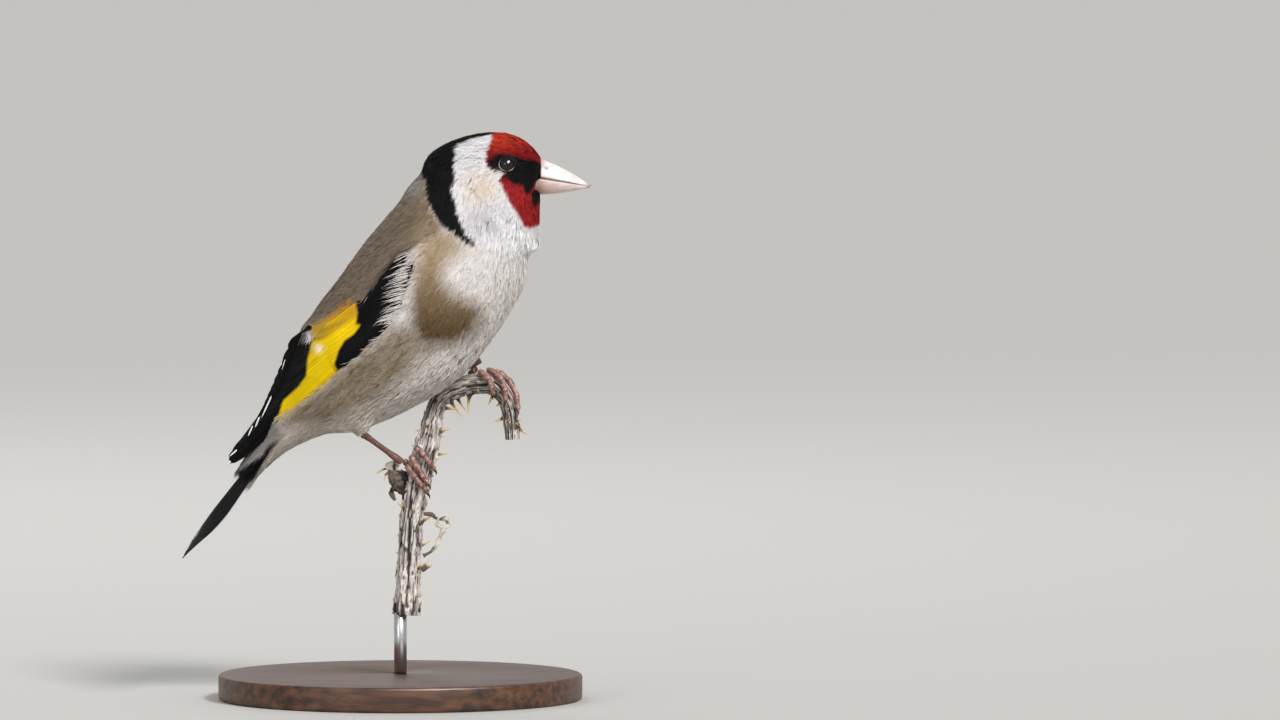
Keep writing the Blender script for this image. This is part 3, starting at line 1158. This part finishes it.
def make_lid(name, side):
    """The fleshy ring round the eye: a folded band of dark skin with a broken white rim below."""
    AROUND, ACROSS = 120, 26
    WHITE_ARC = 0.27
    turn, f = np.meshgrid(full_turn(AROUND), np.linspace(0, 1, ACROSS), indexing="ij")
    inner = EYE_OPENING - 0.05 + 0.08 * np.cos(2 * turn) - 0.06 * np.cos(turn)
    outer = LID_REACH + 0.5 + 0.08 * np.cos(2 * turn)
    flat = inner + (outer - inner) * f
    ball = np.sqrt(np.maximum((EYE_RADIUS * 1.03) ** 2 - np.minimum(flat, EYE_RADIUS) ** 2, 0))
    folds = 0.05 * np.sin(f * 14) * np.sin(f * math.pi) * (0.6 + 0.4 * np.sin(turn * 5))
    rim = 0.07 * hill(f, 0.06, 0.07)
    slope = ball[:, :1] * (1 - f) + f * (EYE_RADIUS * 0.42)
    beads = 0.05 * np.abs(np.sin(turn * 14)) * hill(f, WHITE_ARC, 0.08)
    y = side * (EYE_Y + slope + folds + rim + beads + 0.02)
    points = np.stack([EYE_X + flat * np.cos(turn), y, EYE_Z + flat * np.sin(turn) * 0.94], -1)
    points[:, -1, 1] -= side * 0.7
    dark, pale = srgb(12, 9, 10), srgb(240, 238, 236)
    rear = hill(turn, 3.7, 0.75)
    front = 0.9 * hill(turn, 5.35, 0.35)
    arc = np.clip(rear + front, 0, 1) * hill(f, WHITE_ARC, 0.09)
    specks = (0.65 + 0.35 * np.sin(turn * 23)) * arc
    colours = mix(dark, pale, np.clip(2 * specks, 0, 1)).reshape(-1, 3)
    faces = grid_faces(AROUND, ACROSS)
    last = np.arange(ACROSS - 1)
    seam = np.stack([(AROUND - 1) * ACROSS + last, (AROUND - 1) * ACROSS + last + 1, last + 1, last], -1)
    faces = np.concatenate([faces, seam])
    order = faces if side == LEFT else faces[:, ::-1]
    make_mesh(f"eyelid_{name}", points.reshape(-1, 3), order, lid_material, colours)


# Stem frame, legs and feet

stem_dense = smooth_along(STEM_LINE, np.linspace(0, len(STEM_LINE) - 1, 600))
stem_steps = np.concatenate([[0], np.cumsum(np.linalg.norm(np.diff(stem_dense, axis=0), axis=1))])
stem_dense_radius = smooth_along(STEM_RADII[:, None], np.linspace(0, len(STEM_RADII) - 1, 600))[:, 0]
STEM_LENGTH = stem_steps[-1]


def stem_frame(mm):
    mm = np.clip(mm, 0, STEM_LENGTH)
    centre = np.stack([np.interp(mm, stem_steps, stem_dense[:, k]) for k in range(3)], -1)
    ahead = np.stack([np.interp(mm + 0.3, stem_steps, stem_dense[:, k]) for k in range(3)], -1)
    behind = np.stack([np.interp(mm - 0.3, stem_steps, stem_dense[:, k]) for k in range(3)], -1)
    forward = unit(ahead - behind)
    outward = unit(np.cross(forward, np.array([0, 1, 0])))
    near = unit(np.cross(forward, outward))
    near = np.where(near[..., 1:2] > 0, -near, near)
    return centre, forward, outward, near


def stem_radius(mm):
    return np.interp(mm, stem_steps, stem_dense_radius)


def beside_stem(mm, degrees, distance):
    """Points beside the stem, turned in degrees from its outer side towards the near side."""
    centre, _, outward, near = stem_frame(mm)
    turn = np.radians(degrees)[..., None]
    return centre + (outward * np.cos(turn) + near * np.sin(turn)) * np.asarray(distance)[..., None]


def tube(line, radius, sides, dent=None):
    """A closed tube along a line of points, its radius scaled by a dent for each point where one is given."""
    line = np.asarray(line, float)
    rows = len(line)
    ahead = unit(np.gradient(line, axis=0))
    guide = unit(np.cross(ahead, np.array([0.3, 1, 0.2])))
    other = np.cross(ahead, guide)
    turn = full_turn(sides)
    reach = np.broadcast_to(np.asarray(radius)[:, None], (rows, sides))
    if dent is not None:
        reach = reach * dent
    ring = guide[:, None] * np.cos(turn)[None, :, None] + other[:, None] * np.sin(turn)[None, :, None]
    points = line[:, None] + ring * reach[..., None]
    points = np.concatenate([points.reshape(-1, 3), line[:1], line[-1:]])
    return points, closed_grid(rows, sides)


TOES = {
    "right": [
        ("toe_1", (35.6, 34), (-22, -120), 2.4),
        ("toe_2", (34.3, 29.6), (44, 132), 2.6),
        ("toe_3", (36.3, 31.8), (50, 126), 2.6),
        ("toe_4", (38.4, 35.2), (58, 140), 2.6),
    ],
    "left": [
        ("toe_1", (62.4, 60.2), (-20, -105), 2.2),
        ("toe_2", (63.5, 67.8), (38, 122), 2.4),
        ("toe_3", (65, 71.2), (18, 92), 2.4),
        ("toe_4", (66.2, 73.8), (-10, 42), 2.4),
    ],
}
LEGS = {
    "right": {"knee": (-12.6, -8.2, 71), "heel": (-8.6, -6.9, 63.2), "ankle": (0.3, -2.6, 56.3)},
    "left": {"knee": (-0.5, 10.6, 81), "heel": (6.6, 10.4, 73.4), "ankle": (18.8, 8.6, 79.8)},
}
STEM_RIDGE = 1.09
GRIP_GAP = 0.15
CLAW_RADIUS = 0.38
LEG_PINK = srgb(160, 112, 100)
LEG_BROWN = srgb(92, 60, 52)
LEG_PALE = srgb(214, 188, 176)
CLAW_BROWN = srgb(62, 44, 38)


def make_tarsus(name, leg):
    heel, ankle = np.array(leg["heel"], float), np.array(leg["ankle"], float)
    knee = np.array(leg["knee"], float)
    start = heel + unit(heel - knee) * 0.2
    bend = heel + unit(ankle - heel) * 2.4
    ROWS, SIDES, SCUTES = 110, 22, 11
    f = np.linspace(0, 1, ROWS)
    line = (1 - f)[:, None] ** 2 * start + 2 * (f * (1 - f))[:, None] * bend + f[:, None] ** 2 * ankle
    radius = np.interp(f, [0, 0.12, 0.35, 0.75, 0.93, 1], [0.98, 0.86, 0.68, 0.66, 0.95, 0.8])
    scute = (f * SCUTES) % 1
    turn = full_turn(SIDES)
    front = 0.5 + 0.5 * np.cos(turn - 0.8)
    dent = 1 + 0.07 * (scute[:, None] - 0.5) * front[None, :]
    points, faces = tube(line, radius, SIDES, dent)
    groove = np.concatenate([np.repeat(smoothstep(0.0, 0.18, scute), SIDES), [1, 1]])
    tone = mix(LEG_BROWN, LEG_PINK, 0.5 * noise(points, 1.1))
    tone = tone * (0.55 + 0.45 * groove)[:, None]
    node = f"tarsus_{name}"
    make_mesh(node + "_scaled", points, faces, leg_material, tone, replaces=[node])


def make_toe(foot, name, along, turn, claw):
    ROWS, SIDES, SCUTES, PADS = 64, 18, 13, 3
    f = np.linspace(-0.04, 1, ROWS)
    mm = along[0] + (along[1] - along[0]) * f
    degrees = turn[0] + (turn[1] - turn[0]) * f
    pads = 0.5 + 0.5 * np.cos(f * PADS * 2 * math.pi)
    radius = np.interp(f, [-0.04, 0.1, 1], [0.62, 0.8, 0.56]) * (0.9 + 0.2 * pads)
    radius = radius * np.sqrt(np.clip((1.03 - f) / 0.06, 0.15, 1))
    line = beside_stem(mm, degrees, stem_radius(mm) * STEM_RIDGE + GRIP_GAP + radius)
    scute = (f * SCUTES) % 1
    dent = 1 + 0.16 * (scute[:, None] - 0.5) * np.ones((1, SIDES))
    points, faces = tube(line, radius, SIDES, dent)
    groove = np.concatenate([np.repeat(smoothstep(0, 0.22, scute), SIDES), [1, 1]])
    tone = mix(LEG_PINK, LEG_BROWN, np.clip(1.1 * noise(points, 0.9) - 0.15, 0, 1))
    tone = mix(tone, LEG_PALE, np.clip(1.6 * noise(points, 0.5) - 0.85, 0, 0.9))
    tone = tone * (0.5 + 0.5 * groove)[:, None]
    node = f"{name}_{foot}"
    make_mesh(node + "_scaled", points, faces, leg_material, tone, replaces=[node])
    length = np.linalg.norm(np.diff(line, axis=0), axis=1).sum()
    g = np.linspace(-0.25, 1, 26)
    reach = 1 + g * claw / length
    mm = along[0] + (along[1] - along[0]) * reach
    degrees = turn[0] + (turn[1] - turn[0]) * reach
    thick = np.interp(g, [-0.25, 0, 1], [0.4, CLAW_RADIUS, 0.04])
    arch = 0.35 * np.sin(np.clip(g, 0, 1) * math.pi)
    height = stem_radius(mm) * STEM_RIDGE + GRIP_GAP + CLAW_RADIUS + arch
    claw_line = beside_stem(mm, degrees, height)
    points, faces = tube(claw_line, thick, 12)
    tone = mix(CLAW_BROWN, srgb(30, 22, 20), noise(points, 1.2))
    node = node.replace("toe", "claw")
    make_mesh(node + "_horn", points, faces, claw_material, tone, replaces=[node])


def make_legs():
    for foot, toes in TOES.items():
        make_tarsus(foot, LEGS[foot])
        for name, along, turn, claw in toes:
            make_toe(foot, name, along, turn, claw)


# Perch

def make_stem():
    ROWS, SIDES = 420, 72
    SMALL_SPINES, SMALL_RADIUS, FLAKES = 70, 0.2, 26
    PITH = srgb(190, 168, 130)
    mm = np.linspace(0, STEM_LENGTH, ROWS)[:, None]
    degrees = np.linspace(0, 360, SIDES, endpoint=False)[None, :]
    centre, _, outward, near = stem_frame(mm[:, 0])
    turn = np.radians(degrees)
    around = outward[:, None] * np.cos(turn)[..., None] + near[:, None] * np.sin(turn)[..., None]

    def roughness(per_turn, per_mm, shift):
        """Noise on the stem's surface, finer round it with per_turn and along it with per_mm."""
        place = np.broadcast_arrays(np.cos(turn) * per_turn + shift, np.sin(turn) * per_turn, mm * per_mm)
        return noise(np.stack(place, -1), 1.0)

    fibre, fine, patch = roughness(7, 0.22, 0), roughness(13, 0.9, 7), roughness(2.5, 0.3, 11)
    chips = smoothstep(0.5, 0.56, roughness(4, 0.5, 17))
    furrow = smoothstep(0.42, 0.3, roughness(8, 0.16, 23))
    ridge = 1 + 0.05 * np.cos(np.radians(degrees * 6) + 0.04 * mm)
    relief = ridge + 0.16 * (fibre - 0.5) + 0.16 * (fine - 0.5) + 0.07 * (chips - 0.5) - 0.13 * furrow
    radius = stem_radius(mm) * relief
    points = (centre[:, None] + around * radius[..., None]).reshape(-1, 3)
    pale, grey, dark = srgb(236, 228, 222), srgb(158, 142, 130), srgb(44, 36, 34)
    bare = smoothstep(0.28, 0.52, 0.5 * fibre + 0.5 * fine) * (0.6 + 0.4 * chips)
    tone = mix(grey, pale, bare.ravel())
    tone = mix(tone, dark, np.clip(furrow + 0.8 * smoothstep(0.42, 0.28, fine), 0, 1).ravel())
    in_bend = smoothstep(38, 50, mm) * (0.45 + 0.3 * np.cos(turn + 2.6))
    shaded = np.clip(0.55 * smoothstep(0.52, 0.7, patch) + in_bend, 0, 0.85).ravel()
    tone = mix(tone, tone * 0.3 + dark * 0.5, shaded)
    points = np.concatenate([points, centre[:1], centre[-1:]])
    parts = [(points, closed_grid(ROWS, SIDES), np.concatenate([tone, [PITH] * 2]))]
    small = [
        (rng.uniform(3, STEM_LENGTH - 3), rng.uniform(0, 360), rng.uniform(0.5, 1.5), rng.uniform(-10, 50))
        for _ in range(SMALL_SPINES)
    ]
    for spine in SPINES:
        parts.append(spine_mesh(spine, SPINE_RADIUS))
    for spine in small:
        parts.append(spine_mesh(spine, SMALL_RADIUS))
    for _ in range(FLAKES):
        parts.append(flake(rng.uniform(4, STEM_LENGTH - 4), rng.uniform(0, 360), rng.uniform(1.2, 3)))
    parts += leaf_stub()
    points, faces, colours = join(parts)
    names = ["perch_stem_lower", "perch_stem_bend", "perch_stem_end"]
    make_mesh("perch_stem", points, faces, stem_material, colours, replaces=names)


def spine_mesh(spine, thickness):
    """A curved thorn, dark at its root and straw-coloured at its tip."""
    mm, degrees, length, lean = spine
    root = beside_stem(np.array(mm), np.array(degrees), stem_radius(mm) * 0.75)
    centre, forward, _, _ = stem_frame(np.array(mm))
    outward = unit(root - centre)
    tilt = math.radians(lean)
    direction = outward * math.cos(tilt) + forward * math.sin(tilt)
    SIDES = 9
    f = np.linspace(0, 1, 14)
    reach = length + stem_radius(mm) * 0.25
    line = root + direction * (f * reach)[:, None] + forward * (0.12 * reach * f**2)[:, None]
    radius = thickness * (1 - f) ** 0.8 + 0.03
    radius[:4] *= np.array([2.6, 2, 1.5, 1.2])
    points, faces = tube(line, radius, SIDES)
    level = np.concatenate([np.repeat(f, SIDES), [0, 1]])
    colours = mix(srgb(70, 52, 40), srgb(222, 184, 118), smoothstep(0.2, 0.65, level))
    return points, faces, colours


def flake(mm, degrees, length):
    """A lifted strip of papery bark along the stem."""
    rows = 7
    f = np.linspace(0, 1, rows)
    width = 0.35 * np.sin(f * math.pi * 0.9 + 0.25)
    place = mm + length * f
    lift = stem_radius(place) + 0.1 + 0.5 * f**2
    left = beside_stem(place, degrees - 14 * width, lift)
    right = beside_stem(place, degrees + 14 * width, lift + 0.05)
    points = np.stack([left, right], 1).reshape(-1, 3)
    faces = triangulated(grid_faces(rows, 2))
    under = points - unit(points - stem_frame(place.repeat(2))[0]) * 0.08
    colours = np.broadcast_to(srgb(206, 196, 184), (len(points) * 2, 3)) * rng.uniform(0.55, 1.0)
    return np.concatenate([points, under]), np.concatenate([faces, faces[:, ::-1] + len(points)]), colours


def shred(line, radius, low, high, sides=14):
    """A crumpled, flattened strand of dead leaf from one colour at its root to another at its end."""
    ROWS = 40
    f = np.linspace(0, 1, ROWS)
    line = smooth_along(np.array(line, float), np.linspace(0, len(line) - 1, ROWS))
    radius = np.interp(f, np.linspace(0, 1, len(radius)), radius)
    turn = full_turn(sides)
    place = np.broadcast_arrays(np.cos(turn) * 2, np.sin(turn) * 2, line[:, 2:] * 1.6)
    wrinkle = noise(np.stack(place, -1), 1.0)
    dent = (0.75 + 0.35 * np.cos(2 * turn))[None, :] * (0.55 + 0.95 * wrinkle)
    points, faces = tube(line, radius, sides, dent)
    level = np.concatenate([np.repeat(f, sides), [0, 1]])
    spots = smoothstep(0.4, 0.65, level + 0.6 * (noise(points, 0.7) - 0.5))
    return points, faces, mix(low, high, spots)


def leaf_stub():
    """The withered root of a leaf beside the near foot, with its spine, and a lacy shred below."""
    dark, bark, pale, straw = srgb(46, 38, 34), srgb(110, 96, 84), srgb(218, 208, 194), srgb(226, 188, 116)
    blades = [
        ([(2.4, -0.8, 47), (0.4, -1, 49.4), (-1.2, -1.1, 52), (-2.2, -1.2, 54.2)],
         [0.8, 1.1, 1.3, 0.9], bark),
        ([(2, -0.8, 51), (0.2, -1.4, 53.4), (-1.8, -1.6, 55.2), (-3.4, -1.4, 54.9)],
         [0.6, 0.9, 1, 0.5], pale),
        ([(2.2, 0.2, 49.5), (-0.4, 0.4, 50.6), (-2, 0.2, 49), (-1.2, 0, 47)], [0.5, 0.7, 0.6, 0.3], bark),
    ]
    spines = [
        ([(-2.2, -1.2, 54.6), (-3.8, -1.2, 54.4), (-5.8, -1.1, 53.4)], [0.42, 0.25, 0.04]),
        ([(-2.4, -1.2, 54.2), (-3.4, -1.6, 53), (-3.8, -1.8, 51.8)], [0.36, 0.2, 0.04]),
    ]
    lace = [
        ([(5.6, -0.6, 43.8), (7.6, -0.9, 43.6), (9, -0.6, 42.6), (10.6, -1, 42.8), (11.4, -0.8, 41.2),
          (10.2, -1.2, 40.2), (9.4, -0.7, 38.2)], [0.4, 0.5, 0.3, 0.7, 0.4, 0.6, 0.25], bark),
        ([(9, -0.8, 42.8), (8.8, -0.3, 41.2), (9.8, -0.7, 40.6)], [0.3, 0.5, 0.3], pale),
        ([(5.4, -0.6, 34), (7.2, -0.9, 35), (8.6, -0.7, 36.6), (9.3, -0.6, 38.6)],
         [0.5, 0.3, 0.5, 0.25], bark),
        ([(5, -0.4, 30.5), (6.6, -0.8, 31.6), (7, -0.6, 33.4)], [0.5, 0.6, 0.2], bark),
    ]
    parts = [shred(line, radius, dark, end) for line, radius, end in blades]
    parts += [shred(line, radius, bark, straw, 8) for line, radius in spines]
    return parts + [shred(line, radius, root, pale, 9) for line, radius, root in lace]


# Stand

def lathe(profile, sides):
    """A turned solid from radius and height pairs, starting and ending on the axis."""
    profile = np.array(profile, float)
    turn = full_turn(sides)
    inner = profile[1:-1]
    x = inner[:, :1] * np.cos(turn)
    y = inner[:, :1] * np.sin(turn)
    z = np.broadcast_to(inner[:, 1:], x.shape)
    points = np.stack([x, y, z], -1).reshape(-1, 3)
    ends = np.array([[0, 0, profile[0, 1]], [0, 0, profile[-1, 1]]])
    return np.concatenate([points, ends]), closed_grid(len(inner), sides)


def rounded(corner_radius, corner_height, bevel, start, steps=8):
    """Points of a rounded corner from start degrees over a quarter turn."""
    turn = np.radians(start + np.linspace(0, 90, steps))
    return [(corner_radius + bevel * math.cos(a), corner_height + bevel * math.sin(a)) for a in turn]


def wood_material():
    material, nodes, links, shader = new_material("oiled_wood")
    shader.inputs["Roughness"].default_value = 0.42
    grain = noise_bump(nodes, links, shader, 4, 0.15, 0.0002, stretch=(14, 160, 160), detail=6)
    ramped(nodes, links, shader, grain, srgb(46, 26, 16), srgb(104, 66, 40), ends=(0.35, 0.7))
    return material


def steel_material():
    material, nodes, links, shader = new_material("satin_steel")
    shader.inputs["Metallic"].default_value = 1.0
    shader.inputs["Roughness"].default_value = 0.3
    texture = noise_bump(nodes, links, shader, 300, 0.1, 0.00005, stretch=(1, 1, 12))
    ramped(nodes, links, shader, texture, (0.42, 0.42, 0.43), (0.62, 0.62, 0.63))
    return material


def make_stand():
    bevel = 0.8
    socket, socket_floor = ROD_RADIUS + 0.1, BASE_HEIGHT - 3
    rim = BASE_RADIUS - bevel
    profile = [(0, 0), (rim, 0)]
    profile += rounded(rim, bevel, bevel, -90)[1:]
    profile += rounded(rim, BASE_HEIGHT - bevel, bevel, 0)
    profile += [(ROD_RADIUS + 0.35, BASE_HEIGHT), (socket, BASE_HEIGHT - 0.2)]
    profile += [(socket, socket_floor), (0, socket_floor)]
    points, faces = lathe(profile, 160)
    make_mesh("stand_base_wood", points, faces, wood_material(), replaces=["stand_base"])
    foot, top = BASE_HEIGHT - 2.8, STEM_LINE[0][2] + 0.5
    profile = [(0, foot), (ROD_RADIUS, foot), (ROD_RADIUS, top - 0.15), (ROD_RADIUS - 0.15, top), (0, top)]
    points, faces = lathe(profile, 48)
    make_mesh("stand_rod_steel", points, faces, steel_material(), replaces=["stand_rod"])


# Stage, light and camera

def make_stage():
    """A wide pale floor under an even sky of nearly the same brightness."""
    HALF_SIZE = 14000
    material, _, _, shader = new_material("pale_floor")
    shader.inputs["Roughness"].default_value = 0.9
    shader.inputs["Specular IOR Level"].default_value = 0.1
    shader.inputs["Base Color"].default_value = (*srgb(192, 191, 188), 1)
    corners = [(-1, -1), (1, -1), (1, 1), (-1, 1)]
    points = [(x * HALF_SIZE * MM, y * HALF_SIZE * MM, 0) for x, y in corners]
    mesh = bpy.data.meshes.new("floor")
    mesh.from_pydata(points, [], [(0, 1, 2, 3)])
    mesh.materials.append(material)
    floor = bpy.data.objects.new("floor", mesh)
    bpy.context.scene.collection.objects.link(floor)


def make_light(name, kind, place, aim, power, colour=(1, 1, 1), size=0.5):
    """A light at a place, aimed at another, in metres. Its size is a disc's width, or the sun's angle."""
    data = bpy.data.lights.new(name, kind)
    if kind == "AREA":
        data.shape = "DISK"
        data.size = size
    else:
        data.angle = size
    data.energy = power
    data.color = colour
    light = bpy.data.objects.new(name, data)
    light.location = place
    direction = Vector(aim) - Vector(place)
    light.rotation_euler = direction.to_track_quat("-Z", "Y").to_euler()
    bpy.context.scene.collection.objects.link(light)
    return light


def make_lights():
    aim = (0, 0, 0.09)
    make_light("key", "SUN", (0.55, -0.75, 0.95), aim, 2.3, (1, 0.98, 0.95), math.radians(14))
    make_light("fill", "AREA", (-0.8, -1.1, 0.3), aim, 3, (0.97, 0.98, 1))
    make_light("rim", "AREA", (-0.3, 0.8, 0.8), aim, 2.5)
    catch = make_light("catch_light", "AREA", (0.4, -0.9, 0.8), (0.025, 0, 0.127), 24, size=0.7)
    catch.visible_diffuse = False
    world = bpy.data.worlds.new("studio")
    world.use_nodes = True
    world.node_tree.nodes["Background"].inputs["Color"].default_value = (0.98, 0.99, 1, 1)
    world.node_tree.nodes["Background"].inputs["Strength"].default_value = 0.56
    bpy.context.scene.world = world
    bpy.context.scene.view_settings.view_transform = "Standard"


def make_camera():
    """A long lens level with the bird, framed like the photograph."""
    PICTURE_WIDTH = 302 * MM
    LENS = 357
    SENSOR = 36
    ELEVATION = math.radians(3)
    aim = Vector((56.6 * MM, 0, 80.2 * MM))
    distance = PICTURE_WIDTH * LENS / SENSOR
    back = Vector((0, -math.cos(ELEVATION), math.sin(ELEVATION)))
    data = bpy.data.cameras.new("camera")
    data.lens = LENS
    data.sensor_width = SENSOR
    data.clip_end = 20
    camera = bpy.data.objects.new("camera", data)
    camera.location = aim + back * distance
    camera.rotation_euler = (-back).to_track_quat("-Z", "Y").to_euler()
    bpy.context.scene.collection.objects.link(camera)
    bpy.context.scene.camera = camera


make_skin()
make_coat()
make_wings()
make_tail()
make_bill()
make_eyes()
make_legs()
make_stem()
make_stand()
make_stage()
make_lights()
make_camera()
